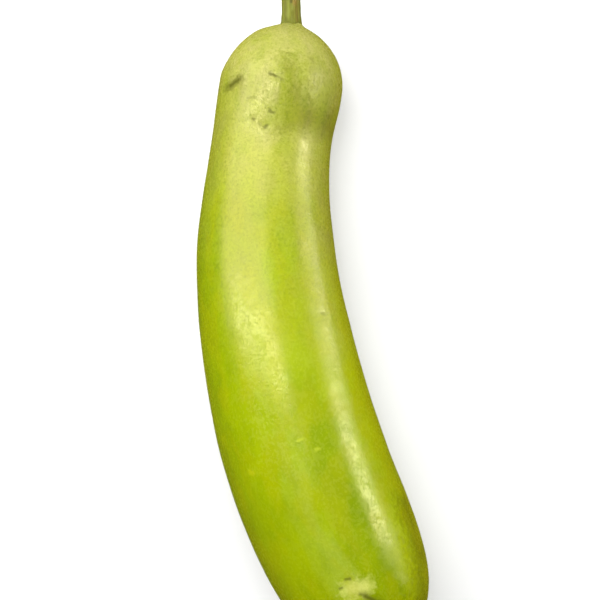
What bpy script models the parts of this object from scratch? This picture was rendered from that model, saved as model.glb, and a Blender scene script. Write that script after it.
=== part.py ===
"""A bottle gourd as picked: one fruit and its cut stem, lying on a table.

Run it in Blender 4.5. Metres, +Z up. The fruit lies along Y with its stem towards +Y, and the
origin is on the table, under the middle of the whole object.
"""

import math

import bmesh
import bpy
from mathutils import Vector

# Driving dimensions, in metres. Lengths along the fruit follow its bent axis.
FRUIT_LENGTH = 0.344  # from the stem's seat to the blossom end
FULL_RADIUS = 0.0434  # where the body is fullest
STEM_LENGTH = 0.042
STEM_RADIUS = 0.0049
GROWTH_GAP = 0.0003  # between the stem's foot and its seat on the fruit
REST_DEPTH = 0.0005  # how far the belly is pressed flat where it lies

# The girth as (share of the length, share of the full radius): a round head, a slight neck on its
# lower side, and a body that fills out towards the blossom end. The domes below close both ends.
GIRTH = [
    (0.00, 0.760),
    (0.11, 0.765),
    (0.19, 0.740),
    (0.27, 0.780),
    (0.36, 0.852),
    (0.50, 0.925),
    (0.70, 1.000),
    (0.82, 1.000),
    (1.00, 1.000),
]
# Which way the axis heads, as (share of the length, degrees from -Y towards +X).
HEADING = [
    (0.00, 0.0),
    (0.06, -1.5),
    (0.13, -9.5),
    (0.30, -1.0),
    (0.42, 7.0),
    (0.60, 13.5),
    (0.76, 22.5),
    (1.00, 25.0),
]

# The domes are superellipses, as (share of the length, roundness). A roundness of 2 is an ellipse.
STEM_DOME = (0.098, 1.85)
BLOSSOM_DOME = (0.261, 2.7)
STEM_SEAT_RADIUS = 1.2 * STEM_RADIUS
STEM_OFFSET = 0.0045  # the stem grows this far to one side of the axis
STEM_OFFSET_REACH = 2.0 * STEM_RADIUS  # how wide the part of the dome is that leans with it
BLOSSOM_DIMPLE_RADIUS = 0.0075
BLOSSOM_DIMPLE_DEPTH = 0.0016

# The stem: five blunt ribs, a foot that spreads on its seat and an end cut aslant.
STEM_RIBS = 5
RIB_HEIGHT = 0.09  # as a share of the stem's radius
FOOT_SPREAD = 0.10
FOOT_LENGTH = 0.14  # as a share of the stem's length
STEM_TURN = math.radians(5.0)  # how far it bends towards -X along its length
STEM_RISE = math.radians(9.0)  # and how far away from the table
CUT_SLANT = math.radians(17.0)
CUT_REACH = 4  # how quickly the slant fades below the cut

# How finely the solids are faceted.
FRUIT_SIDES = 48
BODY_RINGS = 30
STEM_DOME_RINGS = 9
BLOSSOM_DOME_RINGS = 14
STEM_SIDES = 40
STEM_RINGS = 12
AXIS_STEPS = 400
SEAT_SEARCH_STEP = 0.00001
TIP_RING_SHARES = (0.75, 0.5, 0.25, 0.0)  # the last rings, which close the blossom end
SHARP_EDGE = math.radians(35.0)

SKIN_COLOUR = (0.42, 0.55, 0.06, 1.0)
SKIN_ROUGHNESS = 0.38
STEM_COLOUR = (0.22, 0.26, 0.06, 1.0)
STEM_ROUGHNESS = 0.65


def smooth_through(points, at):
    """Reads a smooth curve through (place, value) points at one place."""
    last = len(points) - 1
    index = max(i for i in range(last) if at >= points[i][0] or i == 0)
    slopes = []
    for i in (index, index + 1):
        before, after = points[max(i - 1, 0)], points[min(i + 1, last)]
        slopes.append((after[1] - before[1]) / (after[0] - before[0]))
    (start, low), (end, high) = points[index], points[index + 1]
    span = end - start
    t = (at - start) / span
    return (
        low * (1 + 2 * t) * (1 - t) ** 2
        + high * t * t * (3 - 2 * t)
        + span * slopes[0] * t * (1 - t) ** 2
        - span * slopes[1] * t * t * (1 - t)
    )


def girth(along):
    """The radius that the body would have here without its domes."""
    return FULL_RADIUS * smooth_through(GIRTH, along / FRUIT_LENGTH)


def dome(depth, shape):
    """How much of the girth a dome leaves at this depth below its tip."""
    length, roundness = shape[0] * FRUIT_LENGTH, shape[1]
    if depth >= length:
        return 1.0
    return (1 - (1 - depth / length) ** roundness) ** (1 / roundness)


def fruit_radius(along):
    return girth(along) * dome(along, STEM_DOME) * dome(FRUIT_LENGTH - along, BLOSSOM_DOME)


def axis_points():
    """Points evenly spaced on the bent axis, each held at the height where the belly is flat."""
    step = FRUIT_LENGTH / AXIS_STEPS
    x = y = 0.0
    points = []
    for i in range(AXIS_STEPS + 1):
        points.append(Vector((x, y, girth(i * step) - REST_DEPTH)))
        heading = math.radians(smooth_through(HEADING, (i + 0.5) / AXIS_STEPS))
        x += step * math.sin(heading)
        y -= step * math.cos(heading)
    return points


def axis_frame(points, along):
    """The axis here: its point, and the directions across, up and along it."""
    place = min(max(along / FRUIT_LENGTH * AXIS_STEPS, 0.0), AXIS_STEPS - 1e-6)
    index = int(place)
    centre = points[index].lerp(points[index + 1], place - index)
    ahead = (points[index + 1] - points[index]).normalized()
    across = Vector((0, 0, 1)).cross(ahead).normalized()
    return centre, across, ahead.cross(across), ahead


def fruit_stations():
    """Where the rings stand along the fruit, closer together on the two domes."""
    first = FRUIT_LENGTH * STEM_DOME[0]
    last = FRUIT_LENGTH * (1 - BLOSSOM_DOME[0])
    seat = 0.0
    while fruit_radius(seat) < STEM_SEAT_RADIUS:
        seat += SEAT_SEARCH_STEP
    seat_angle = math.acos(1 - seat / first)
    stations = []
    for i in range(STEM_DOME_RINGS):
        angle = seat_angle + (math.pi / 2 - seat_angle) * i / STEM_DOME_RINGS
        stations.append(first * (1 - math.cos(angle)))
    for i in range(BODY_RINGS):
        stations.append(first + (last - first) * i / BODY_RINGS)
    for i in range(BLOSSOM_DOME_RINGS):
        angle = math.pi / 2 * i / BLOSSOM_DOME_RINGS
        stations.append(last + (FRUIT_LENGTH - last) * math.sin(angle))
    return stations


def fruit_outline():
    """Half of the fruit's lengthwise section, as (radius, distance along), seat first."""
    stations = fruit_stations()
    outline = [(0.0, stations[0])]
    outline += [(fruit_radius(s), s) for s in stations]
    tip_radius = outline[-1][0]
    outline += [(tip_radius * share, FRUIT_LENGTH) for share in TIP_RING_SHARES]
    dimpled = []
    for radius, along in outline:
        dip = BLOSSOM_DIMPLE_DEPTH * math.exp(-((radius / BLOSSOM_DIMPLE_RADIUS) ** 2))
        in_blossom_half = along > FRUIT_LENGTH / 2
        dimpled.append((radius, along - dip if in_blossom_half else along))
    return dimpled


def spun(outline, sides):
    """A closed body of revolution about -Y, as a bmesh."""
    body = bmesh.new()
    verts = [body.verts.new((radius, -along, 0.0)) for radius, along in outline]
    edges = [body.edges.new(pair) for pair in zip(verts, verts[1:])]
    bmesh.ops.spin(
        body,
        geom=verts + edges,
        cent=(0, 0, 0),
        axis=(0, 1, 0),
        angle=math.tau,
        steps=sides,
        use_merge=True,
    )
    bmesh.ops.remove_doubles(body, verts=body.verts, dist=1e-6)
    return body


def lean_to_stem(place):
    """How far a point of the straight fruit shifts sideways so that its tip meets the stem."""
    if -place.y > FRUIT_LENGTH / 2:
        return 0.0
    reach = math.hypot(place.x, place.z) / STEM_OFFSET_REACH
    return STEM_OFFSET * math.exp(-(reach**4))


def press_flat(body):
    """Cuts the belly off level with the table and closes it with one flat face."""
    everything = body.verts[:] + body.edges[:] + body.faces[:]
    bmesh.ops.bisect_plane(
        body, geom=everything, plane_co=(0, 0, 0), plane_no=(0, 0, -1), clear_outer=True
    )
    rim = [edge for edge in body.edges if edge.is_boundary]
    bmesh.ops.holes_fill(body, edges=rim, sides=0)


def finish_object(name, body, material):
    """Turns a bmesh into a named, smooth-shaded object."""
    bmesh.ops.recalc_face_normals(body, faces=body.faces)
    mesh = bpy.data.meshes.new(name)
    body.to_mesh(mesh)
    body.free()
    mesh.shade_smooth()
    mesh.set_sharp_from_angle(angle=SHARP_EDGE)
    mesh.materials.append(material)
    thing = bpy.data.objects.new(name, mesh)
    bpy.context.scene.collection.objects.link(thing)
    return thing


def make_fruit(points, material):
    body = spun(fruit_outline(), FRUIT_SIDES)
    for vert in body.verts:
        centre, across, up, ahead = axis_frame(points, -vert.co.y)
        vert.co = centre + across * (vert.co.x + lean_to_stem(vert.co)) + up * vert.co.z
    press_flat(body)
    return finish_object("fruit", body, material)


def stem_radius(share, angle):
    """The stem's radius at this share of its length: ribs all along it, and a spread foot."""
    spread = FOOT_SPREAD * math.exp(-((share / FOOT_LENGTH) ** 2))
    return STEM_RADIUS * (1 + spread + RIB_HEIGHT * math.cos(STEM_RIBS * angle))


def make_stem(points, material):
    """A ribbed stalk, drawn out from a plain drum one unit wide and one unit long."""
    body = bmesh.new()
    bmesh.ops.create_cone(
        body, cap_ends=True, segments=STEM_SIDES, radius1=1.0, radius2=1.0, depth=1.0
    )
    lengthwise = [edge for edge in body.edges if abs(edge.verts[0].co.z - edge.verts[1].co.z) > 0.5]
    bmesh.ops.subdivide_edges(body, edges=lengthwise, cuts=STEM_RINGS - 1)
    seat, across, up, ahead = axis_frame(points, fruit_stations()[0])
    for vert in body.verts:
        share = vert.co.z + 0.5
        angle = math.atan2(vert.co.y, vert.co.x)
        radius = stem_radius(share, angle)
        slant = share**CUT_REACH * radius * math.tan(CUT_SLANT) * math.cos(angle)
        length = GROWTH_GAP + STEM_LENGTH * share
        turned = across * (STEM_OFFSET - length * share * math.tan(STEM_TURN) / 2)
        raised = up * length * share * math.tan(STEM_RISE) / 2
        section = across * radius * math.cos(angle) + up * radius * math.sin(angle)
        vert.co = seat + turned + raised + section - ahead * (length + slant)
    return finish_object("stem", body, material)


def make_material(name, colour, roughness):
    material = bpy.data.materials.new(name)
    material.use_nodes = True
    shader = material.node_tree.nodes["Principled BSDF"]
    shader.inputs["Base Color"].default_value = colour
    shader.inputs["Roughness"].default_value = roughness
    shader.inputs["Metallic"].default_value = 0.0
    return material


def centre_over_origin(things):
    """Moves the meshes sideways so that the origin is under the middle of the whole object."""
    corners = [vert.co for thing in things for vert in thing.data.vertices]
    middle_x = (min(c.x for c in corners) + max(c.x for c in corners)) / 2
    middle_y = (min(c.y for c in corners) + max(c.y for c in corners)) / 2
    for corner in corners:
        corner.x -= middle_x
        corner.y -= middle_y


def main():
    for thing in list(bpy.data.objects):
        bpy.data.objects.remove(thing)
    points = axis_points()
    skin = make_material("gourd_skin", SKIN_COLOUR, SKIN_ROUGHNESS)
    stalk = make_material("green_stem", STEM_COLOUR, STEM_ROUGHNESS)
    centre_over_origin([make_fruit(points, skin), make_stem(points, stalk)])


main()
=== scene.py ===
"""A bottle gourd as picked, lying on a pale table and seen from straight above in soft light.

Lengths are in metres and angles in degrees, unless a comment says otherwise. The fruit is
modelled straight, lengthwise along -Y from its stem, and then bent onto the axis that it grew
along. The stem is drawn out from a drum and set on the head. Patterns follow two attributes kept
from each straight piece: straight, the place on it in metres, and zone, the place across (X) and
up (Z) as shares of the radius there, and along (Y) as a share of the length.
"""

import math

import bmesh
import bpy
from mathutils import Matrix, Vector, noise


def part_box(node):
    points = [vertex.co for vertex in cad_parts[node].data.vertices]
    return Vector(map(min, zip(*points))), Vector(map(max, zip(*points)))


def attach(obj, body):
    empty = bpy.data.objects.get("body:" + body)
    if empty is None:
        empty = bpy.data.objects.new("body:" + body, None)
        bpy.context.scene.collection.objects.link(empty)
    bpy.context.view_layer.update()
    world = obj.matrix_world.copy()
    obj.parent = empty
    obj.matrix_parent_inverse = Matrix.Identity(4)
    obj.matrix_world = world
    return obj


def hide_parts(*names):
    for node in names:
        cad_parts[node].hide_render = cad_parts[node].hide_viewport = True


# ---------------------------------------------------------------- the gourd's own measures

FRUIT_LENGTH = 0.344  # along the bent axis
FULL_RADIUS = 0.0434
STEM_LENGTH = 0.042
STEM_RADIUS = 0.0049
REST_DEPTH = 0.0005  # how far the underside is pressed flat

# Girth as (share of the length, share of the full radius), before the domes close the ends.
GIRTH = [
    (0.00, 0.760),
    (0.11, 0.765),
    (0.19, 0.740),
    (0.27, 0.780),
    (0.36, 0.852),
    (0.50, 0.925),
    (0.70, 1.000),
    (0.82, 1.000),
    (1.00, 1.000),
]
# Which way the axis heads, as (share of the length, degrees from -Y towards +X).
HEADING = [
    (0.00, 0.0),
    (0.06, -1.5),
    (0.13, -9.5),
    (0.30, -1.0),
    (0.42, 7.0),
    (0.60, 13.5),
    (0.76, 22.5),
    (1.00, 25.0),
]
STEM_DOME = (0.098, 1.85)  # share of the length, roundness
BLOSSOM_DOME = (0.261, 2.7)
SEAT_RADIUS = 1.2 * STEM_RADIUS
STEM_OFFSET = 0.0045
STEM_OFFSET_REACH = 2.0 * STEM_RADIUS
STEM_OFFSET_STEEPNESS = 4

FRUIT_SIDES = 216
BODY_RINGS = 190
STEM_DOME_RINGS = 44
BLOSSOM_DOME_RINGS = 80
SCAR_RINGS = 26
AXIS_STEPS = 600
SEAT_SEARCH_STEP = 0.00001
SEAT_RINGS = (0.0, 0.3, 0.55, 0.75, 0.9)  # rings across the seat, as shares of its radius

# The blossom end: a puckered dimple round a small corky button.
SCAR_REACH = 0.0090
DIMPLE_RADIUS = 0.0070
DIMPLE_DEPTH = 0.0017
BUTTON_RADIUS = 0.0021
BUTTON_HEIGHT = 0.0009
BUTTON_STEEPNESS = 6
HOLLOW_RADIUS = 0.45 * BUTTON_RADIUS  # in the middle of the button
HOLLOW_DEPTH = 0.5 * BUTTON_HEIGHT
PUCKERS = 9
PUCKER_DEPTH = 0.00022
PUCKER_MIDDLE = 0.6 * SCAR_REACH  # how far from the axis they are deepest
PUCKER_SPREAD = 0.45 * SCAR_REACH
PUCKER_SWAY = 1.2  # radians
PUCKER_SWAY_SIZE = 0.004

# Furrows that run from between the stem's ribs out onto the head.
STEM_RIBS = 5
FURROW_DEPTH = 0.0005
FURROW_REACH = 0.0085

# Slow unevenness of the whole fruit, as (size of a lump, height).
LUMPS = [(0.070, 0.0009), (0.024, 0.00025), (0.009, 0.00006)]

# Places pressed in (or, below zero, swollen) while growing, as
# (share along, degrees around, reach along, reach around in degrees, depth).
PRESSED = [
    (0.080, 150, 0.016, 26, 0.0008),
    (0.158, 38, 0.012, 34, 0.0008),
    (0.118, 88, 0.010, 20, 0.0003),
    (0.890, 88, 0.006, 9, 0.0004),
    (0.560, 128, 0.030, 20, 0.0004),
    (0.320, 205, 0.030, 30, 0.0006),
    (0.700, 250, 0.040, 26, 0.0005),
    (0.640, 88, 0.050, 26, -0.0003),
    (0.440, 37, 0.058, 16, -0.0010),
]

MARK_REACH = 0.012  # how far from its start a mark can press the skin
# Marks of growing and picking, as (share, degrees) to (share, degrees), width, darkness, depth.
MARKS = [
    ((0.118, 150), (0.101, 130), 0.0046, 0.55, 0.00050),
    ((0.114, 144), (0.103, 134), 0.0034, 0.95, 0.00035),
    ((0.0900, 99), (0.0930, 94), 0.0018, 0.85, 0.00030),
    ((0.0925, 94), (0.0970, 87), 0.0012, 0.45, 0.00014),
    ((0.0895, 93), (0.0880, 88), 0.0010, 0.30, 0.00010),
    ((0.129, 118), (0.126, 110), 0.0013, 0.35, 0.00012),
    ((0.142, 95), (0.143, 91), 0.0016, 0.62, 0.00010),
    ((0.158, 110), (0.159, 109), 0.0016, 0.65, 0.00030),
    ((0.165, 103), (0.166, 102), 0.0012, 0.35, 0.00018),
    ((0.165, 96), (0.170, 97), 0.0016, 0.72, 0.00030),
    ((0.057, 83), (0.060, 81), 0.0015, 0.30, 0.00012),
    ((0.063, 60), (0.067, 57), 0.0015, 0.28, 0.00012),
    ((0.208, 153), (0.209, 152), 0.0013, 0.30, 0.00015),
    ((0.292, 137), (0.293, 136), 0.0013, 0.28, 0.00015),
    ((0.471, 50), (0.474, 47), 0.0020, 0.35, 0.00015),
    ((0.865, 95), (0.867, 92), 0.0016, 0.70, 0.00030),
    ((0.875, 102), (0.875, 100), 0.0015, 0.60, 0.00030),
    ((0.896, 90), (0.899, 88), 0.0016, 0.60, 0.00025),
    ((0.902, 87), (0.921, 79), 0.0026, 0.85, 0.00070),
    ((0.350, 232), (0.385, 240), 0.0020, 0.45, 0.00020),
    ((0.620, 318), (0.600, 310), 0.0017, 0.55, 0.00020),
    ((0.770, 200), (0.772, 197), 0.0020, 0.60, 0.00030),
]


# ---------------------------------------------------------------- the shape of the fruit


def smooth_through(points, at):
    """Reads a smooth curve through (place, value) points at one place."""
    last = len(points) - 1
    index = max(i for i in range(last) if at >= points[i][0] or i == 0)
    slopes = []
    for i in (index, index + 1):
        before, after = points[max(i - 1, 0)], points[min(i + 1, last)]
        slopes.append((after[1] - before[1]) / (after[0] - before[0]))
    (start, low), (end, high) = points[index], points[index + 1]
    span = end - start
    t = (at - start) / span
    return (
        low * (1 + 2 * t) * (1 - t) ** 2
        + high * t * t * (3 - 2 * t)
        + span * slopes[0] * t * (1 - t) ** 2
        - span * slopes[1] * t * t * (1 - t)
    )


def girth(along):
    return FULL_RADIUS * smooth_through(GIRTH, along / FRUIT_LENGTH)


def dome(depth, shape):
    """How much of the girth a dome leaves at this depth below its tip."""
    length, roundness = shape[0] * FRUIT_LENGTH, shape[1]
    if depth >= length:
        return 1.0
    return (1 - (1 - depth / length) ** roundness) ** (1 / roundness)


def fruit_radius(along):
    return girth(along) * dome(along, STEM_DOME) * dome(FRUIT_LENGTH - along, BLOSSOM_DOME)


def axis_points():
    """Points evenly spaced on the bent axis, each held at the height where the belly is flat."""
    step = FRUIT_LENGTH / AXIS_STEPS
    x = y = 0.0
    points = []
    for i in range(AXIS_STEPS + 1):
        points.append(Vector((x, y, girth(i * step) - REST_DEPTH)))
        heading = math.radians(smooth_through(HEADING, (i + 0.5) / AXIS_STEPS))
        x += step * math.sin(heading)
        y -= step * math.cos(heading)
    return points


def axis_frame(points, along):
    """The axis here: its point, and the directions across, up and along it."""
    place = min(max(along / FRUIT_LENGTH * AXIS_STEPS, 0.0), AXIS_STEPS)
    index = min(int(place), AXIS_STEPS - 1)
    centre = points[index].lerp(points[index + 1], place - index)
    ahead = (points[index + 1] - points[index]).normalized()
    across = Vector((0, 0, 1)).cross(ahead).normalized()
    return centre, across, ahead.cross(across), ahead


def seat_station():
    """How far along the axis the head is as wide as the stem's seat."""
    along = 0.0
    while fruit_radius(along) < SEAT_RADIUS:
        along += SEAT_SEARCH_STEP
    return along


def scar_relief(radius):
    """How far the blossom end dips here: a dimple with a corky button in its middle."""
    dip = DIMPLE_DEPTH * math.exp(-((radius / DIMPLE_RADIUS) ** 2))
    button = BUTTON_HEIGHT * math.exp(-((radius / BUTTON_RADIUS) ** BUTTON_STEEPNESS))
    hollow = HOLLOW_DEPTH * math.exp(-((radius / HOLLOW_RADIUS) ** 2))
    return dip - button + hollow


def fruit_outline():
    """Half of the fruit's lengthwise section, as (radius, distance along), seat first."""
    first = FRUIT_LENGTH * STEM_DOME[0]
    depth, roundness = FRUIT_LENGTH * BLOSSOM_DOME[0], BLOSSOM_DOME[1]
    last = FRUIT_LENGTH - depth
    seat = seat_station()
    seat_angle = math.acos(1 - seat / first)
    outline = [(SEAT_RADIUS * share, seat) for share in SEAT_RINGS]
    for i in range(STEM_DOME_RINGS):
        angle = seat_angle + (math.pi / 2 - seat_angle) * i / STEM_DOME_RINGS
        along = first * (1 - math.cos(angle))
        outline.append((fruit_radius(along), along))
    for i in range(BODY_RINGS):
        along = first + (last - first) * i / BODY_RINGS
        outline.append((fruit_radius(along), along))
    for i in range(BLOSSOM_DOME_RINGS):
        along = last + depth * math.sin(math.pi / 2 * i / BLOSSOM_DOME_RINGS)
        if fruit_radius(along) > SCAR_REACH:
            outline.append((fruit_radius(along), along))
    for i in range(SCAR_RINGS + 1):
        radius = SCAR_REACH * (1 - i / SCAR_RINGS)
        flat = (1 - (radius / FULL_RADIUS) ** roundness) ** (1 / roundness)
        outline.append((radius, last + depth * flat - scar_relief(radius)))
    return outline


def spun(outline, sides):
    """A closed body of revolution about -Y, as a bmesh. The outline's ends lie on the axis."""
    body = bmesh.new()
    turns = [math.tau * i / sides for i in range(sides)]
    head, tip = (body.verts.new((0.0, -along, 0.0)) for _, along in (outline[0], outline[-1]))
    rings = []
    for radius, along in outline[1:-1]:
        places = [(radius * math.cos(turn), -along, radius * math.sin(turn)) for turn in turns]
        rings.append([body.verts.new(place) for place in places])
    for i in range(sides):
        following = (i + 1) % sides
        body.faces.new((head, rings[0][following], rings[0][i]))
        for near, far in zip(rings, rings[1:]):
            body.faces.new((near[following], far[following], far[i], near[i]))
        body.faces.new((tip, rings[-1][i], rings[-1][following]))
    body.normal_update()
    return body


def on_skin(share, degrees):
    """A place on the straight fruit's skin."""
    along, angle = share * FRUIT_LENGTH, math.radians(degrees)
    radius = fruit_radius(along)
    return Vector((radius * math.cos(angle), -along, radius * math.sin(angle)))


def distance_to_stroke(place, start, end):
    run = end - start
    share = min(max((place - start).dot(run) / run.length_squared, 0.0), 1.0)
    return (place - start - run * share).length


def lumps(place):
    return sum(height * noise.noise(place / size) for size, height in LUMPS)


def pressed_in(share, degrees):
    depth = 0.0
    for at_share, at_degrees, reach, reach_degrees, deep in PRESSED:
        turn = (degrees - at_degrees + 180) % 360 - 180
        far = ((share - at_share) * FRUIT_LENGTH / reach) ** 2 + (turn / reach_degrees) ** 2
        depth += deep * math.exp(-far)
    return depth


def furrows(place, degrees):
    """How deep the furrows round the stem or the puckers round the blossom scar are here."""
    from_axis = math.hypot(place.x, place.z)
    if -place.y < FRUIT_LENGTH / 2:
        fade = math.exp(-((from_axis / FURROW_REACH) ** 2))
        return FURROW_DEPTH * fade * math.cos(math.radians(STEM_RIBS * degrees))
    fade = math.exp(-(((from_axis - PUCKER_MIDDLE) / PUCKER_SPREAD) ** 2))
    sway = PUCKER_SWAY * noise.noise(place / PUCKER_SWAY_SIZE)
    return PUCKER_DEPTH * fade * math.cos(math.radians(PUCKERS * degrees) + sway)


def lean_to_stem(place):
    """How far a point of the straight fruit shifts sideways so that its tip meets the stem."""
    if -place.y > FRUIT_LENGTH / 2:
        return 0.0
    reach = math.hypot(place.x, place.z) / STEM_OFFSET_REACH
    return STEM_OFFSET * math.exp(-(reach**STEM_OFFSET_STEEPNESS))


def skin_height(place, strokes):
    """How far the skin stands above the plain spun shape at a place on the straight fruit."""
    degrees = math.degrees(math.atan2(place.z, place.x))
    share = -place.y / FRUIT_LENGTH
    height = lumps(place) - pressed_in(share, degrees) - furrows(place, degrees)
    for start, end, width, depth in strokes:
        if (place - start).length < MARK_REACH:
            far = distance_to_stroke(place, start, end) / width
            height -= depth * math.exp(-far * far)
    return height


def finished(name, body, material, straight, zone):
    """Turns a bmesh into a smooth object with its two pattern attributes."""
    mesh = bpy.data.meshes.new(name)
    body.to_mesh(mesh)
    body.free()
    mesh.shade_smooth()
    for label, values in (("straight", straight), ("zone", zone)):
        layer = mesh.attributes.new(label, "FLOAT_VECTOR", "POINT")
        layer.data.foreach_set("vector", [number for value in values for number in value])
    mesh.materials.append(material)
    thing = bpy.data.objects.new(name, mesh)
    bpy.context.scene.collection.objects.link(thing)
    return thing


def make_fruit(points, shift, material):
    body = spun(fruit_outline(), FRUIT_SIDES)
    strokes = [
        (on_skin(*start), on_skin(*end), width, depth) for start, end, width, _, depth in MARKS
    ]
    straight, zone = [], []
    for vert in body.verts:
        place, normal = vert.co.copy(), vert.normal.copy()
        centre, across, up, ahead = axis_frame(points, -place.y)
        straight.append(tuple(place))
        girth_here = max(fruit_radius(-place.y), SEAT_RADIUS)
        zone.append((place.x / girth_here, -place.y / FRUIT_LENGTH, place.z / girth_here))
        shaped = place + normal * skin_height(place, strokes)
        slide = ahead * (place.y - shaped.y)
        vert.co = centre + across * (shaped.x + lean_to_stem(place)) + up * shaped.z + slide + shift
        vert.co.z = max(vert.co.z, 0.0)
    return finished("gourd_fruit", body, material, straight, zone)


def frame_shift(points):
    """How far the CAD fruit stands from where the bent axis starts, from its box."""
    low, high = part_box("fruit")
    sides = []
    for i in range(1, AXIS_STEPS):
        along = FRUIT_LENGTH * i / AXIS_STEPS
        centre, across, _, _ = axis_frame(points, along)
        sides.append(centre.x - abs(across.x) * fruit_radius(along))
    return Vector((low.x - min(sides), high.y + seat_station(), 0.0))


# ---------------------------------------------------------------- the stem

STEM_SIDES = 120
STEM_RINGS = 70
# Ribs, grooves, foot and toes, in shares of the stem's radius and length.
RIB_HEIGHT = 0.09
FINE_GROOVES = [(15, 0.020, 0.6), (25, 0.012, 2.1), (40, 0.006, 4.0)]  # count, depth, radians
FOOT_SPREAD = 0.10
FOOT_LENGTH = 0.14
TOE_SPREAD = 0.6 * FOOT_SPREAD
TOE_LENGTH = 0.03

FOOT_SINK = 0.0004  # how far the foot reaches into the fruit
BULGE_HEIGHT = 0.00025
BULGE_PITCH = 2.2  # how close together the bulges lie round the stem
BULGE_STRETCH = 5.0  # how much closer together they lie along it
STEM_TURN = 5.0  # how far the stem's end points sideways
STEM_RISE = 9.0  # and upwards
CUT_SLANT = 17.0
CUT_REACH = 4  # the power of the share along by which the slant of the cut sets in
# Rings on the cut end, as (inset of a drum of radius 1, how far it stands out).
CUT_RINGS = [(0.10, 0.0), (0.10, -0.00025), (0.16, 0.00020), (0.18, -0.0001), (0.20, -0.0009)]


def stem_radius(share, angle):
    foot = FOOT_SPREAD * math.exp(-((share / FOOT_LENGTH) ** 2))
    toes = TOE_SPREAD * math.exp(-((share / TOE_LENGTH) ** 2))
    ribs = RIB_HEIGHT * math.cos(STEM_RIBS * angle)
    fine = sum(deep * math.cos(count * angle + turn) for count, deep, turn in FINE_GROOVES)
    place = Vector((math.cos(angle), share * BULGE_STRETCH, math.sin(angle)))
    bulge = BULGE_HEIGHT * noise.noise(place * BULGE_PITCH)
    return STEM_RADIUS * (1 + foot + toes + ribs + fine) + bulge


def stem_drum():
    """A drum of radius 1 and length 1, as (bmesh, how far each vertex of its cut end stands out)."""
    body = bmesh.new()
    bmesh.ops.create_cone(
        body, cap_ends=True, segments=STEM_SIDES, radius1=1.0, radius2=1.0, depth=1.0
    )
    lengthwise = [edge for edge in body.edges if edge.verts[0].co.z * edge.verts[1].co.z < 0]
    bmesh.ops.subdivide_edges(body, edges=lengthwise, cuts=STEM_RINGS - 1)
    cut = [face for face in body.faces if len(face.verts) == STEM_SIDES and face.normal.z > 0]
    stands_out = {}
    for inset, step in CUT_RINGS:
        bmesh.ops.inset_region(body, faces=cut, thickness=inset, use_even_offset=False)
        stands_out.update({vert: step for vert in cut[0].verts})
    return body, stands_out


def make_stem(points, shift, material):
    """A ribbed stalk, drawn out from a drum. It leans and rises, and it is cut at a slant."""
    body, stands_out = stem_drum()
    seat, across, up, ahead = axis_frame(points, seat_station())
    straight, zone = [], []
    for vert in body.verts:
        share = vert.co.z + 0.5
        angle = math.atan2(vert.co.y, vert.co.x)
        inward = min(math.hypot(vert.co.x, vert.co.y), 1.0)
        radius = stem_radius(share, angle) * inward
        sideways, upward = radius * math.cos(angle), radius * math.sin(angle)
        slant = share**CUT_REACH * sideways * math.tan(math.radians(CUT_SLANT))
        length = STEM_LENGTH * share - FOOT_SINK + stands_out.get(vert, 0.0)
        bend = length * share / 2
        lean = across * (STEM_OFFSET - bend * math.tan(math.radians(STEM_TURN)))
        rise = up * bend * math.tan(math.radians(STEM_RISE))
        straight.append((sideways, length, upward))
        zone.append((math.cos(angle) * inward, share, math.sin(angle) * inward))
        section = across * sideways + up * upward
        vert.co = seat + lean + rise + section - ahead * (length + slant) + shift
    bmesh.ops.recalc_face_normals(body, faces=body.faces)
    return finished("gourd_stem", body, material, straight, zone)


# ---------------------------------------------------------------- nodes


def plug(tree, value, socket):
    """Links a socket to an input, or sets the input to a value."""
    if isinstance(value, bpy.types.NodeSocket):
        tree.links.new(value, socket)
    else:
        socket.default_value = value


def node(tree, kind, inputs=None, **settings):
    """Adds a node. An input is a socket to link or a value to hold."""
    made = tree.nodes.new(kind)
    for name, value in settings.items():
        setattr(made, name, value)
    for name, value in (inputs or {}).items():
        plug(tree, value, made.inputs[name])
    return made


def math_of(tree, operation, first, second=0.0, clamp=False):
    made = node(tree, "ShaderNodeMath", {0: first, 1: second}, operation=operation)
    made.use_clamp = clamp
    return made.outputs[0]


def vector_of(tree, operation, first, second=(0.0, 0.0, 0.0)):
    made = node(tree, "ShaderNodeVectorMath", {0: first, 1: second}, operation=operation)
    return made.outputs["Value" if operation in ("LENGTH", "DOT_PRODUCT") else "Vector"]


def between(tree, value, low, high, to_low=0.0, to_high=1.0):
    """Eases from one value to another as the input goes from low to high."""
    inputs = {"Value": value, 1: low, 2: high, 3: to_low, 4: to_high}
    made = node(tree, "ShaderNodeMapRange", inputs, interpolation_type="SMOOTHSTEP")
    return made.outputs[0]


def blended(tree, share, under, over, mode="MIX"):
    """Lays one colour over another by a share. Inputs 6 and 7 are the Mix node's two colours."""
    inputs = {0: share, 6: under, 7: over}
    return node(tree, "ShaderNodeMix", inputs, data_type="RGBA", blend_type=mode).outputs[2]


def ramp(tree, value, stops):
    made = node(tree, "ShaderNodeValToRGB", {"Fac": value})
    elements = made.color_ramp.elements
    elements[0].position, elements[0].color = stops[0]
    elements[1].position, elements[1].color = stops[-1]
    for position, colour in stops[1:-1]:
        elements.new(position).color = colour
    return made.outputs["Color"]


def attribute(tree, name):
    return node(tree, "ShaderNodeAttribute", attribute_name=name).outputs["Vector"]


# ---------------------------------------------------------------- node groups that draw masks

BAND_FADE = 0.1  # share of the length over which a band sets in and ends
DOT_CORE = 0.4  # share of a dot's size that is at full strength


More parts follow.
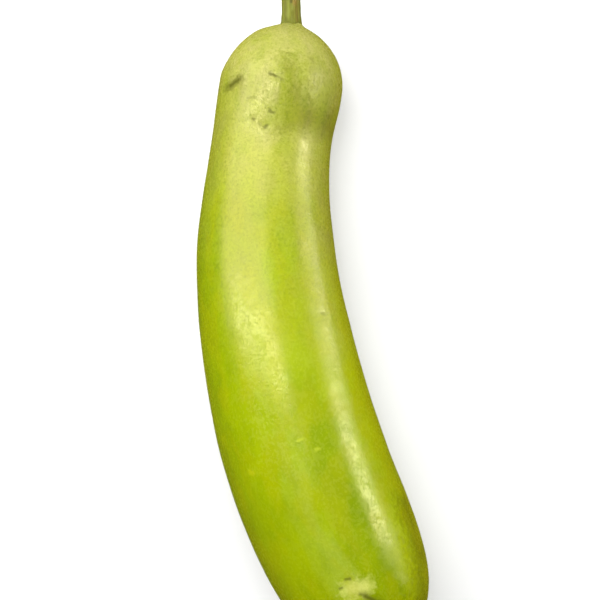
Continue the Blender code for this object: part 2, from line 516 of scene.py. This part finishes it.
def new_group(name, vectors, numbers):
    """A group that draws a mask, as (tree, its inputs by name, its output node)."""
    tree = bpy.data.node_groups.new(name, "ShaderNodeTree")
    for kind, labels in (("NodeSocketVector", vectors), ("NodeSocketFloat", numbers)):
        for label in labels:
            tree.interface.new_socket(label, in_out="INPUT", socket_type=kind)
    tree.interface.new_socket("Mask", in_out="OUTPUT", socket_type="NodeSocketFloat")
    entry = tree.nodes.new("NodeGroupInput")
    leave = tree.nodes.new("NodeGroupOutput")
    return tree, entry.outputs, leave


def use_group(tree, group, inputs):
    return node(tree, "ShaderNodeGroup", inputs, node_tree=group).outputs["Mask"]


def make_grain_group():
    """Noise drawn out by a stretch, from 0 to 1 with a chosen contrast."""
    tree, given, leave = new_group("drawn_grain", ("Place", "Stretch"), ("Detail", "Low", "High"))
    drawn = vector_of(tree, "MULTIPLY", given["Place"], given["Stretch"])
    inputs = {"Vector": drawn, "Scale": 1.0, "Detail": given["Detail"]}
    grain = node(tree, "ShaderNodeTexNoise", inputs).outputs["Fac"]
    tree.links.new(between(tree, grain, given["Low"], given["High"]), leave.inputs["Mask"])
    return tree


def make_speckle_group():
    """Small soft dots, some of them missing."""
    tree, given, leave = new_group("speckle", ("Place",), ("Spacing", "Size", "Cover"))
    per_metre = math_of(tree, "DIVIDE", 1.0, given["Spacing"])
    cells = node(tree, "ShaderNodeTexVoronoi", {"Vector": given["Place"], "Scale": per_metre})
    dots = math_of(tree, "DIVIDE", cells.outputs["Distance"], given["Size"])
    soft = between(tree, dots, 1.0, DOT_CORE)
    parts = node(tree, "ShaderNodeSeparateColor", {"Color": cells.outputs["Color"]}).outputs
    kept = math_of(tree, "LESS_THAN", parts[0], given["Cover"])
    uneven = math_of(tree, "MULTIPLY", kept, parts[1])
    tree.links.new(math_of(tree, "MULTIPLY", soft, uneven), leave.inputs["Mask"])
    return tree


def make_stroke_group():
    """A soft-edged stroke from one place to another, whose distance is scaled by Ragged."""
    numbers = ("Width", "Strength", "Ragged")
    tree, given, leave = new_group("stroke", ("Place", "From", "To"), numbers)
    reach = vector_of(tree, "SUBTRACT", given["Place"], given["From"])
    run = vector_of(tree, "SUBTRACT", given["To"], given["From"])
    forward = vector_of(tree, "DOT_PRODUCT", reach, run)
    whole = vector_of(tree, "DOT_PRODUCT", run, run)
    share = math_of(tree, "DIVIDE", forward, whole, clamp=True)
    scaled = node(tree, "ShaderNodeVectorMath", {0: run, "Scale": share}, operation="SCALE")
    gap = vector_of(tree, "SUBTRACT", reach, scaled.outputs["Vector"])
    distance = math_of(tree, "MULTIPLY", vector_of(tree, "LENGTH", gap), given["Ragged"])
    relative = math_of(tree, "DIVIDE", distance, given["Width"])
    mask = math_of(tree, "MULTIPLY", between(tree, relative, 1.0, 0.0), given["Strength"])
    tree.links.new(mask, leave.inputs["Mask"])
    return tree


def make_band_group():
    """A band along the fruit, on one side of it, from one share of the length to another."""
    numbers = ("Edge", "Core", "Start", "End", "Wander")
    tree, given, leave = new_group("lengthwise_band", ("Zone", "Side"), numbers)
    along = node(tree, "ShaderNodeSeparateXYZ", {"Vector": given["Zone"]}).outputs["Y"]
    around = vector_of(tree, "MULTIPLY", given["Zone"], (1.0, 0.0, 1.0))
    outward = vector_of(tree, "NORMALIZE", around)
    match = vector_of(tree, "DOT_PRODUCT", outward, given["Side"])
    match = math_of(tree, "ADD", match, given["Wander"])
    band = between(tree, match, given["Edge"], given["Core"])
    begins = between(tree, math_of(tree, "SUBTRACT", along, given["Start"]), 0.0, BAND_FADE)
    ends = between(tree, math_of(tree, "SUBTRACT", given["End"], along), 0.0, BAND_FADE)
    stretch = math_of(tree, "MULTIPLY", begins, ends)
    tree.links.new(math_of(tree, "MULTIPLY", band, stretch), leave.inputs["Mask"])
    return tree


# ---------------------------------------------------------------- painting a material

BAND_CORE = 0.35  # share of a band's half width that is at full strength


class Painter:
    """Lays patterns over one material, by the two attributes kept from the straight piece."""

    def __init__(self, name, groups):
        self.material = bpy.data.materials.new(name)
        self.material.use_nodes = True
        self.tree = self.material.node_tree
        self.groups = groups
        self.straight = attribute(self.tree, "straight")
        zone = node(self.tree, "ShaderNodeSeparateXYZ", {"Vector": attribute(self.tree, "zone")})
        self.across, self.along = zone.outputs["X"], zone.outputs["Y"]

    def grain(self, stretch, low, high, detail):
        inputs = {"Place": self.straight, "Stretch": stretch}
        inputs.update({"Low": low, "High": high, "Detail": detail})
        return use_group(self.tree, self.groups["grain"], inputs)

    def dots(self, spacing, size, cover):
        inputs = {"Place": self.straight, "Spacing": spacing, "Size": size, "Cover": cover}
        return use_group(self.tree, self.groups["speckle"], inputs)

    def stroke(self, start, end, width, strength, ragged):
        inputs = {"Place": self.straight, "From": start, "To": end}
        inputs.update({"Width": width, "Strength": strength, "Ragged": ragged})
        return use_group(self.tree, self.groups["stroke"], inputs)

    def band(self, degrees, half_width, start, end, wander):
        angle, width = math.radians(degrees), math.radians(half_width)
        side = (math.cos(angle), 0.0, math.sin(angle))
        inputs = {"Zone": attribute(self.tree, "zone"), "Side": side, "Wander": wander}
        inputs.update({"Edge": math.cos(width), "Core": math.cos(BAND_CORE * width)})
        inputs.update({"Start": start, "End": end})
        return use_group(self.tree, self.groups["band"], inputs)

    def between(self, value, *limits):
        return between(self.tree, value, *limits)

    def times(self, first, second):
        return math_of(self.tree, "MULTIPLY", first, second)

    def plus(self, first, second, clamp=False):
        return math_of(self.tree, "ADD", first, second, clamp)

    def most(self, first, second):
        return math_of(self.tree, "MAXIMUM", first, second)

    def laid(self, colour, mask, tint, mode="MIX"):
        """Lays a tint over a colour where the mask is."""
        return blended(self.tree, mask, colour, tint, mode)

    def finish(self, colour, roughness, height, relief, settings):
        """Feeds the shader, with a bump of (strength, distance), and sets its plain values."""
        strength, distance = relief
        inputs = {"Height": height, "Strength": strength, "Distance": distance}
        normal = node(self.tree, "ShaderNodeBump", inputs).outputs["Normal"]
        shader = self.tree.nodes["Principled BSDF"]
        feeds = {"Base Color": colour, "Roughness": roughness, "Normal": normal, **settings}
        for name, value in feeds.items():
            plug(self.tree, value, shader.inputs[name])
        return self.material


# ---------------------------------------------------------------- skin

# The skin's colour, as (share of the length, colour).
HEAD_TO_TIP = [
    (0.00, (0.46, 0.44, 0.140, 1)),
    (0.12, (0.35, 0.34, 0.096, 1)),
    (0.22, (0.36, 0.36, 0.066, 1)),
    (0.38, (0.280, 0.310, 0.025, 1)),
    (0.55, (0.27, 0.33, 0.0012, 1)),
    (0.75, (0.25, 0.33, 0.0005, 1)),
    (0.90, (0.32, 0.38, 0.0005, 1)),
    (1.00, (0.30, 0.32, 0.0020, 1)),
]
PALE_BLOOM = (0.36, 0.402, 0.0030, 1)
DEEP_GREEN = (0.174, 0.246, 0.0003, 1)
OLIVE_BROWN = (0.215, 0.190, 0.0015, 1)
CLOUD_PALE = (0.33, 0.408, 0.0005, 1)
RIPE_YELLOW = (0.33, 0.33, 0.0003, 1)
SPECKLE_PALE = (0.39, 0.45, 0.0020, 1)
SPECKLE_DARK = (0.132, 0.18, 0.0005, 1)
GRAIN_SHADE = (0.72, 0.76, 0.50, 1)
BRUISE = (0.066, 0.072, 0.0003, 1)
CORK = (0.12, 0.078, 0.025, 1)

# Broad bands along the fruit, as (degrees, half width in degrees, start, end, colour, strength).
BANDS = [
    (77, 18, 0.27, 0.62, (0.262, 0.345, 0.008, 1), 0.60),
    # painted shade: olive along the upper right side of the head and neck
    (30, 26, 0.02, 0.58, (0.33, 0.33, 0.070, 1), 0.65),
    (152, 32, 0.22, 0.84, (0.22, 0.305, 0.0001, 1), 0.92),
    (74, 24, 0.58, 1.00, (0.162, 0.235, 0.0001, 1), 0.86),
    (101, 16, 0.60, 0.95, (0.265, 0.350, 0.034, 1), 0.64),
    (122, 20, 0.52, 1.00, (0.26, 0.34, 0.0005, 1), 0.65),
    # painted light: the right flank made lighter, standing in for light thrown back onto it
    (10, 36, 0.34, 0.80, (0.36, 0.41, 0.0002, 1), 0.72),
    (165, 34, 0.04, 0.40, (0.25, 0.26, 0.046, 1), 0.75),
]

# Patches, as (share, degrees) to (share, degrees), width, colour, strength, dullness.
PATCHES = [
    # partly darker green skin, partly painted shade of a shallow flat on the head
    ((0.085, 84), (0.150, 74), 0.015, (0.138, 0.153, 0.0050, 1), 0.70, 0.0),
    ((0.120, 116), (0.165, 100), 0.018, (0.24, 0.252, 0.040, 1), 0.45, 0.08),
    ((0.585, 84), (0.625, 74), 0.019, (0.18, 0.26, 0.0001, 1), 0.75, 0.0),
    # painted shade: the shaded hollow of the waist on its right side
    ((0.138, 60), (0.150, 15), 0.016, (0.15, 0.138, 0.013, 1), 0.80, 0.45),
    ((0.168, 62), (0.215, 60), 0.013, (0.33, 0.34, 0.050, 1), 0.30, 0.22),
    ((0.085, 56), (0.115, 44), 0.014, (0.228, 0.24, 0.030, 1), 0.60, 0.28),
    # painted shade: a dark streak along the right side near the blossom end
    ((0.820, 18), (0.970, 30), 0.022, (0.070, 0.080, 0.0002, 1), 0.80, 0.0),
    # partly a pale rough scab, partly a painted highlight near the blossom end
    ((0.881, 96), (0.889, 84), 0.008, (0.60, 0.62, 0.15, 1), 0.86, 0.0),
    # painted highlight: a small pale reflection to the right of the blossom end
    ((0.896, 54), (0.905, 52), 0.0045, (0.36, 0.408, 0.070, 1), 0.60, 0.0),
    ((0.676, 132), (0.677, 130), 0.0026, (0.42, 0.42, 0.010, 1), 0.80, 0.0),
    ((0.652, 90), (0.652, 87), 0.0016, (0.44, 0.50, 0.030, 1), 0.70, 0.0),
    ((0.672, 80), (0.673, 78), 0.0018, (0.44, 0.50, 0.030, 1), 0.60, 0.0),
]

# Noise patterns on the skin, as (stretch along X, Y and Z, low, high, detail).
RAGGEDNESS = ((420.0, 420.0, 420.0), 0.30, 0.70, 3.0)
WANDERING = ((70.0, 25.0, 70.0), 0.20, 0.80, 3.0)
STRIPES = ((75.0, 10.0, 75.0), 0.35, 0.68, 3.0)
CLOUDS = ((95.0, 70.0, 95.0), 0.35, 0.65, 3.0)
SHADES = ((140.0, 60.0, 140.0), 0.45, 0.75, 3.0)
RIPENESS = ((85.0, 45.0, 85.0), 0.46, 0.62, 3.0)
PEBBLES = ((640.0, 640.0, 640.0), 0.30, 0.70, 2.0)
PITS = ((820.0, 820.0, 820.0), 0.54, 0.66, 1.0)
WRINKLES = ((260.0, 620.0, 260.0), 0.25, 0.75, 2.0)
SLOW_WAVES = ((170.0, 230.0, 170.0), 0.20, 0.80, 2.0)
SHEEN = ((260.0, 160.0, 260.0), 0.30, 0.70, 3.0)
GRIT = ((760.0, 560.0, 760.0), 0.50, 0.62, 2.0)
PALE_DOTS = (0.0021, 0.34, 0.70)  # spacing, size as a share of it, share of dots kept
DARK_DOTS = (0.0026, 0.26, 0.60)

# Where an effect goes from none to full: as shares across, shares along, or metres from the scar.
LEFT_SIDE = (-0.62, -1.0)
RIGHT_SIDE = (0.76, 1.0)
LOWER_BODY = (0.12, 0.36)
SCAR_HALO = (0.011, 0.003)
SCAR_CORK = (0.0036, 0.0026)

# How a value is turned into another, as (from, to, result at the first, result at the second).
RAGGED_EDGES = (0.0, 1.0, 0.75, 1.35)
WANDERING_EDGES = (0.0, 1.0, -0.03, 0.03)
SHEEN_ROUGHNESS = (0.0, 1.0, 0.17, 0.28)
GRAIN_DEPTH = (0.30, 0.60, 1.0, 0.25)

# How strongly each effect tints the skin.
STRIPES_TINT = 0.16
# Painted shade: how far the left flank of the lower body is darkened to deep green.
LEFT_FLANK_SHADE = 0.75
# Painted shade and painted warm reflection: how strongly the right rim is tinted olive-brown.
RIGHT_RIM_SHADE_AND_REFLECTION = 0.34
CLOUDS_TINT = 0.24
SHADES_TINT = 0.30
RIPENESS_TINT = 0.30
PEBBLES_TINT = 0.50
PITS_TINT = 0.70
PALE_DOTS_TINT = 0.22
DARK_DOTS_TINT = 0.30
HALO_TINT = 0.45

# How far each effect raises the skin, in shares of the relief, and how much it roughens it.
PEBBLES_RISE = 0.5
WRINKLES_RISE = 0.8
WAVES_RISE = 1.5
PITS_RISE = -0.7
CORK_RISE = 2.0
GRIT_ROUGHNESS = 0.17
MARKS_ROUGHNESS = 0.30
CORK_ROUGHNESS = 0.35

SKIN_RELIEF = (0.8, 0.000024)  # strength, distance
SKIN_SETTINGS = {
    "Specular IOR Level": 0.5,
    "Specular Tint": (1.0, 0.91, 0.49, 1),
    "Subsurface Weight": 0.08,
    "Subsurface Radius": (0.8, 1.0, 0.3),
    "Subsurface Scale": 0.003,
}


def paint_bands(skin, colour):
    """Broad bands along the fruit, with wandering edges; one is painted shade, one painted light."""
    wander = skin.between(skin.grain(*WANDERING), *WANDERING_EDGES)
    for degrees, half_width, start, end, tint, strength in BANDS:
        mask = skin.band(degrees, half_width, start, end, wander)
        colour = skin.laid(colour, skin.times(mask, strength), tint)
    return colour


def paint_patches(skin, colour, ragged):
    """Patches with ragged edges, as (colour, how much duller they make the skin). Some are painted
    shade and some painted highlights.
    """
    dull = 0.0
    for start, end, width, tint, strength, dullness in PATCHES:
        mask = skin.stroke(on_skin(*start), on_skin(*end), width, strength, ragged)
        colour = skin.laid(colour, mask, tint)
        if dullness:
            dull = skin.most(dull, skin.times(mask, dullness))
    return colour, dull


def paint_mottling(skin, colour):
    """Soft stripes, painted shade and painted warm reflection on the sides, and cloudy patches."""
    stripes = skin.grain(*STRIPES)
    colour = skin.laid(colour, skin.times(stripes, STRIPES_TINT), PALE_BLOOM)
    # Painted shade: a darker left flank on the lower body.
    left = skin.times(skin.between(skin.across, *LEFT_SIDE), LEFT_FLANK_SHADE)
    lower_body = skin.between(skin.along, *LOWER_BODY)
    colour = skin.laid(colour, skin.times(left, lower_body), DEEP_GREEN)
    # Painted shade and painted warm reflection: an olive-brown right rim.
    right = skin.times(skin.between(skin.across, *RIGHT_SIDE), RIGHT_RIM_SHADE_AND_REFLECTION)
    colour = skin.laid(colour, right, OLIVE_BROWN)
    colour = skin.laid(colour, skin.times(skin.grain(*CLOUDS), CLOUDS_TINT), CLOUD_PALE)
    colour = skin.laid(colour, skin.times(skin.grain(*SHADES), SHADES_TINT), DEEP_GREEN)
    riper = skin.times(skin.grain(*RIPENESS), lower_body)
    return skin.laid(colour, skin.times(riper, RIPENESS_TINT), RIPE_YELLOW)


def paint_grain(skin, colour, pebbles, pits):
    """A fine grain, fainter on the lower body, and pale and dark dots."""
    depth = skin.between(skin.along, *GRAIN_DEPTH)
    for grains, strength in ((pebbles, PEBBLES_TINT), (pits, PITS_TINT)):
        share = skin.times(skin.times(grains, strength), depth)
        colour = skin.laid(colour, share, GRAIN_SHADE, "MULTIPLY")
    pale = skin.times(skin.dots(*PALE_DOTS), PALE_DOTS_TINT)
    colour = skin.laid(colour, pale, SPECKLE_PALE)
    dark = skin.times(skin.dots(*DARK_DOTS), DARK_DOTS_TINT)
    return skin.laid(colour, dark, SPECKLE_DARK)


def mask_marks(skin, ragged):
    """Where the scratches and pits are, and how dark."""
    marked = 0.0
    for start, end, width, darkness, _ in MARKS:
        mask = skin.stroke(on_skin(*start), on_skin(*end), width, darkness, ragged)
        marked = skin.most(marked, mask)
    return marked


def skin_bump(skin, pebbles, pits, cork):
    """Waxy skin: a close grain, faint wrinkles across the fruit and slow waves."""
    wrinkles, waves = skin.grain(*WRINKLES), skin.grain(*SLOW_WAVES)
    height = skin.times(pebbles, PEBBLES_RISE)
    rises = ((wrinkles, WRINKLES_RISE), (waves, WAVES_RISE), (pits, PITS_RISE), (cork, CORK_RISE))
    for mask, rise in rises:
        height = skin.plus(height, skin.times(mask, rise))
    return height


def skin_roughness(skin, dull, marked, cork):
    rough = skin.between(skin.grain(*SHEEN), *SHEEN_ROUGHNESS)
    rough = skin.plus(rough, skin.times(skin.grain(*GRIT), GRIT_ROUGHNESS))
    worn = skin.plus(dull, skin.times(marked, MARKS_ROUGHNESS))
    rough = skin.plus(rough, worn)
    return skin.plus(rough, skin.times(cork, CORK_ROUGHNESS), clamp=True)


def make_skin(groups):
    skin = Painter("gourd_skin", groups)
    colour = ramp(skin.tree, skin.along, HEAD_TO_TIP)
    ragged = skin.between(skin.grain(*RAGGEDNESS), *RAGGED_EDGES)
    colour = paint_bands(skin, colour)
    colour, dull = paint_patches(skin, colour, ragged)
    colour = paint_mottling(skin, colour)
    pebbles, pits = skin.grain(*PEBBLES), skin.grain(*PITS)
    colour = paint_grain(skin, colour, pebbles, pits)

    marked = mask_marks(skin, ragged)
    colour = skin.laid(colour, marked, BRUISE)
    from_scar = vector_of(skin.tree, "SUBTRACT", skin.straight, (0.0, -FRUIT_LENGTH, 0.0))
    scar_distance = vector_of(skin.tree, "LENGTH", from_scar)
    halo = skin.times(skin.between(scar_distance, *SCAR_HALO), HALO_TINT)
    colour = skin.laid(colour, halo, OLIVE_BROWN)
    cork = skin.between(scar_distance, *SCAR_CORK)
    colour = skin.laid(colour, cork, CORK)

    height = skin_bump(skin, pebbles, pits, cork)
    roughness = skin_roughness(skin, dull, marked, cork)
    return skin.finish(colour, roughness, height, SKIN_RELIEF, SKIN_SETTINGS)


# ---------------------------------------------------------------- stem finish

# The stem's colour, as (share of its length, colour).
STEM_GREEN = [
    (0.00, (0.11, 0.12, 0.0032, 1)),
    (0.12, (0.14, 0.15, 0.0066, 1)),
    (0.60, (0.13, 0.13, 0.0094, 1)),
    (1.00, (0.12, 0.088, 0.013, 1)),
]
STEM_PALE = (0.22, 0.24, 0.032, 1)
STEM_TAN = (0.24, 0.16, 0.029, 1)
STEM_OLIVE = (0.096, 0.093, 0.0019, 1)
STEM_DARK = (0.040, 0.030, 0.0025, 1)
PITH = (0.25, 0.22, 0.070, 1)

# Marks on the stem, as (degrees, from, to along it in metres, width, colour, strength).
STEM_MARKS = [
    (150, 0.000, 0.036, 0.0022, STEM_OLIVE, 0.80),
    (124, 0.000, 0.036, 0.0012, STEM_OLIVE, 0.85),
    (106, 0.004, 0.012, 0.0020, STEM_PALE, 0.60),
    (80, 0.000, 0.006, 0.0016, STEM_OLIVE, 0.60),
    (60, 0.011, 0.018, 0.0026, STEM_TAN, 0.95),
    (46, 0.002, 0.014, 0.0026, STEM_TAN, 0.55),
    (86, 0.0112, 0.0122, 0.0011, STEM_DARK, 0.85),
    (200, 0.015, 0.026, 0.0022, STEM_TAN, 0.70),
    (300, 0.020, 0.024, 0.0016, STEM_DARK, 0.60),
]

# Noise patterns on the stem, as (stretch along X, Y and Z, low, high, detail).
FIBRES = ((520.0, 30.0, 520.0), 0.35, 0.65, 3.0)
SEAMS = ((430.0, 12.0, 430.0), 0.52, 0.70, 3.0)
DRY_SPOTS = ((260.0, 90.0, 260.0), 0.55, 0.70, 3.0)
HAIRS = ((1500.0, 260.0, 1500.0), 0.30, 0.70, 3.0)
STEM_DOTS = (0.0022, 0.25, 0.50)  # spacing, size as a share of it, share of dots kept

# Where an effect goes from none to full: as shares across, along, or out from the middle.
STEM_SIDE = (0.72, 1.0)
CUT_RIM = (0.955, 0.995)
CUT_PITH = (0.93, 0.80)
CUT_CORE = (0.40, 0.22)
CUT_FACE = 0.999  # the share along from which on it is the cut face

# How a value is turned into another, as (from, to, result at the first, result at the second).
STEM_MARK_EDGES = (0.0, 1.0, 1.3, 0.8)
STEM_ROUGHNESS = (0.0, 1.0, 0.50, 0.68)

# How strongly each effect tints the stem.
FIBRES_TINT = 0.40
SEAMS_TINT = 0.75
DRY_TINT = 0.45
SIDE_TINT = 0.20
STEM_DOTS_TINT = 0.60
RIM_TINT = 0.80
CORE_TINT = 0.70

HAIRS_RISE = 0.5
STEM_RELIEF = (0.7, 0.00015)  # strength, distance
STEM_SETTINGS = {"Specular IOR Level": 0.25}


def on_stem(degrees, length):
    """A place on the straight stem's surface."""
    angle = math.radians(degrees)
    return (STEM_RADIUS * math.cos(angle), length, STEM_RADIUS * math.sin(angle))


def paint_stem_marks(stalk, colour, fibres):
    ragged = stalk.between(fibres, *STEM_MARK_EDGES)
    for degrees, start, end, width, tint, strength in STEM_MARKS:
        ends = on_stem(degrees, start), on_stem(degrees, end)
        colour = stalk.laid(colour, stalk.stroke(*ends, width, strength, ragged), tint)
    return colour


def paint_cut(stalk, colour):
    """The cut end: a dark rim, pale pith and a darker core."""
    rim = stalk.times(stalk.between(stalk.along, *CUT_RIM), RIM_TINT)
    colour = stalk.laid(colour, rim, STEM_DARK)
    section = vector_of(stalk.tree, "MULTIPLY", attribute(stalk.tree, "zone"), (1.0, 0.0, 1.0))
    from_middle = vector_of(stalk.tree, "LENGTH", section)
    at_cut = math_of(stalk.tree, "GREATER_THAN", stalk.along, CUT_FACE)
    pith = stalk.times(at_cut, stalk.between(from_middle, *CUT_PITH))
    colour = stalk.laid(colour, pith, PITH)
    core = stalk.times(at_cut, stalk.between(from_middle, *CUT_CORE))
    return stalk.laid(colour, stalk.times(core, CORE_TINT), STEM_DARK)


def make_stalk(groups):
    stalk = Painter("gourd_stem", groups)
    colour = ramp(stalk.tree, stalk.along, STEM_GREEN)
    fibres, seams = stalk.grain(*FIBRES), stalk.grain(*SEAMS)
    colour = stalk.laid(colour, stalk.times(fibres, FIBRES_TINT), STEM_PALE)
    colour = stalk.laid(colour, stalk.times(seams, SEAMS_TINT), STEM_OLIVE)
    colour = stalk.laid(colour, stalk.times(stalk.grain(*DRY_SPOTS), DRY_TINT), STEM_TAN)
    colour = paint_stem_marks(stalk, colour, fibres)
    side = stalk.times(stalk.between(stalk.across, *STEM_SIDE), SIDE_TINT)
    colour = stalk.laid(colour, side, STEM_OLIVE)
    dots = stalk.times(stalk.dots(*STEM_DOTS), STEM_DOTS_TINT)
    colour = stalk.laid(colour, dots, STEM_DARK)
    colour = paint_cut(stalk, colour)

    hairs = stalk.grain(*HAIRS)
    height = stalk.plus(fibres, stalk.times(hairs, HAIRS_RISE))
    height = math_of(stalk.tree, "SUBTRACT", height, seams)
    roughness = stalk.between(hairs, *STEM_ROUGHNESS)
    return stalk.finish(colour, roughness, height, STEM_RELIEF, STEM_SETTINGS)


# ---------------------------------------------------------------- stage

FLOOR_SIZE = 6.0
FLOOR_DROP = 0.0002
FLOOR_COLOURS = ((0.70, 0.70, 0.696, 1), (0.73, 0.73, 0.726, 1))
FLOOR_GLOW = 0.30  # keeps the table pale where the light is weak
FLOOR_BOUNCE = (0.22, 0.20, 0.014, 1)  # what the table throws back onto the gourd
FLOOR_CLOUDS = {"Stretch": (9.0, 9.0, 9.0), "Low": 0.30, "High": 0.70, "Detail": 3.0}
FLOOR_ROUGHNESS = 0.9
FLOOR_SPECULAR = 0.1


def make_floor_material(groups):
    """Pale and faintly clouded to the camera, and olive in the light that it throws back."""
    material = bpy.data.materials.new("pale_table")
    material.use_nodes = True
    tree = material.node_tree
    where = node(tree, "ShaderNodeTexCoord").outputs["Object"]
    clouds = use_group(tree, groups["grain"], {"Place": where, **FLOOR_CLOUDS})
    seen = node(tree, "ShaderNodeLightPath").outputs["Is Camera Ray"]
    colour = blended(tree, seen, FLOOR_BOUNCE, blended(tree, clouds, *FLOOR_COLOURS))
    glow = math_of(tree, "MULTIPLY", seen, FLOOR_GLOW)
    shader = tree.nodes["Principled BSDF"]
    plug(tree, colour, shader.inputs["Base Color"])
    plug(tree, FLOOR_COLOURS[0], shader.inputs["Emission Color"])
    plug(tree, glow, shader.inputs["Emission Strength"])
    plug(tree, FLOOR_ROUGHNESS, shader.inputs["Roughness"])
    plug(tree, FLOOR_SPECULAR, shader.inputs["Specular IOR Level"])
    return material


def make_floor(groups):
    body = bmesh.new()
    bmesh.ops.create_grid(body, x_segments=1, y_segments=1, size=FLOOR_SIZE / 2)
    bmesh.ops.translate(body, verts=body.verts, vec=(0, 0, -FLOOR_DROP))
    mesh = bpy.data.meshes.new("table_top")
    body.to_mesh(mesh)
    body.free()
    mesh.materials.append(make_floor_material(groups))
    floor = bpy.data.objects.new("table_top", mesh)
    bpy.context.scene.collection.objects.link(floor)


CAMERA_HEIGHT = 1.15
CAMERA_OVER = (-0.0065, -0.0017)  # X and Y of the place that it looks straight down at
LENS = 124.9  # millimetres, like the sensor's width
SENSOR_WIDTH = 36.0


def make_camera():
    data = bpy.data.cameras.new("camera_above")
    data.sensor_width = SENSOR_WIDTH
    data.lens = LENS
    camera = bpy.data.objects.new("camera_above", data)
    camera.location = (*CAMERA_OVER, CAMERA_HEIGHT)
    bpy.context.scene.collection.objects.link(camera)
    bpy.context.scene.camera = camera


# Area lights, as (name, middle, turns about X, Y and Z, width, length, radiance, reflected).
PANELS = [
    ("window_panel", (-0.60, 0.62, 0.79), (0, -37.5, 9), 1.51, 1.10, 3.6, True),
    ("window_sill", (-0.48, 0.12, 0.885), (0, -37.5, 9), 1.05, 0.13, 12.0, True),
    ("side_window", (1.10, 0.19, 0.515), (0, 69, 0), 0.36, 0.33, 11.5, True),
    ("low_window", (1.17, 0.40, 0.28), (0, 80, 0), 0.26, 0.34, 2.5, True),
    ("side_panel", (1.80, 0.50, 0.60), (0, 72, 0), 0.95, 1.40, 2.2, True),
    ("end_panel", (0.31, -0.85, 1.35), (32, 12, 0), 0.20, 0.14, 8.0, True),
    ("soft_fill", (0.45, 0.35, 1.65), (-12, 15, 0), 1.60, 1.60, 2.10, False),
]
ROOM_LIGHT = (0.97, 0.985, 1.0, 1)
ROOM_STRENGTH = 0.14


def make_lights():
    for name, middle, turns, width, length, radiance, reflected in PANELS:
        data = bpy.data.lights.new(name, "AREA")
        data.shape = "RECTANGLE"
        data.size, data.size_y = width, length
        data.energy = radiance * math.pi * width * length
        light = bpy.data.objects.new(name, data)
        light.location = middle
        light.rotation_euler = [math.radians(turn) for turn in turns]
        light.visible_glossy = reflected
        bpy.context.scene.collection.objects.link(light)


def make_room_light():
    """Weak light from all round, which isn't reflected."""
    world = bpy.data.worlds.new("soft_room")
    world.use_nodes = True
    background = world.node_tree.nodes["Background"]
    background.inputs["Color"].default_value = ROOM_LIGHT
    background.inputs["Strength"].default_value = ROOM_STRENGTH
    world.cycles_visibility.glossy = False
    bpy.context.scene.world = world


# ---------------------------------------------------------------- the scene

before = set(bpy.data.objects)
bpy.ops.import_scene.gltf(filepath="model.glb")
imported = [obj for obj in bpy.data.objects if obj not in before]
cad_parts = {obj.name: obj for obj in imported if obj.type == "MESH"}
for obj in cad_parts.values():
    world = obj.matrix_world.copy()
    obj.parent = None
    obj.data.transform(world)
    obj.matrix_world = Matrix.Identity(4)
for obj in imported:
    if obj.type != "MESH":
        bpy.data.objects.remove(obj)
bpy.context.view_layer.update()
groups = {
    "grain": make_grain_group(),
    "speckle": make_speckle_group(),
    "stroke": make_stroke_group(),
    "band": make_band_group(),
}
axis = axis_points()
shift = frame_shift(axis)

fruit = make_fruit(axis, shift, make_skin(groups))
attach(fruit, "root")
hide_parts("fruit")

stem = make_stem(axis, shift, make_stalk(groups))
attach(stem, "root")
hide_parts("stem")

make_floor(groups)
make_camera()
make_lights()
make_room_light()
bpy.context.scene.view_settings.view_transform = "Standard"
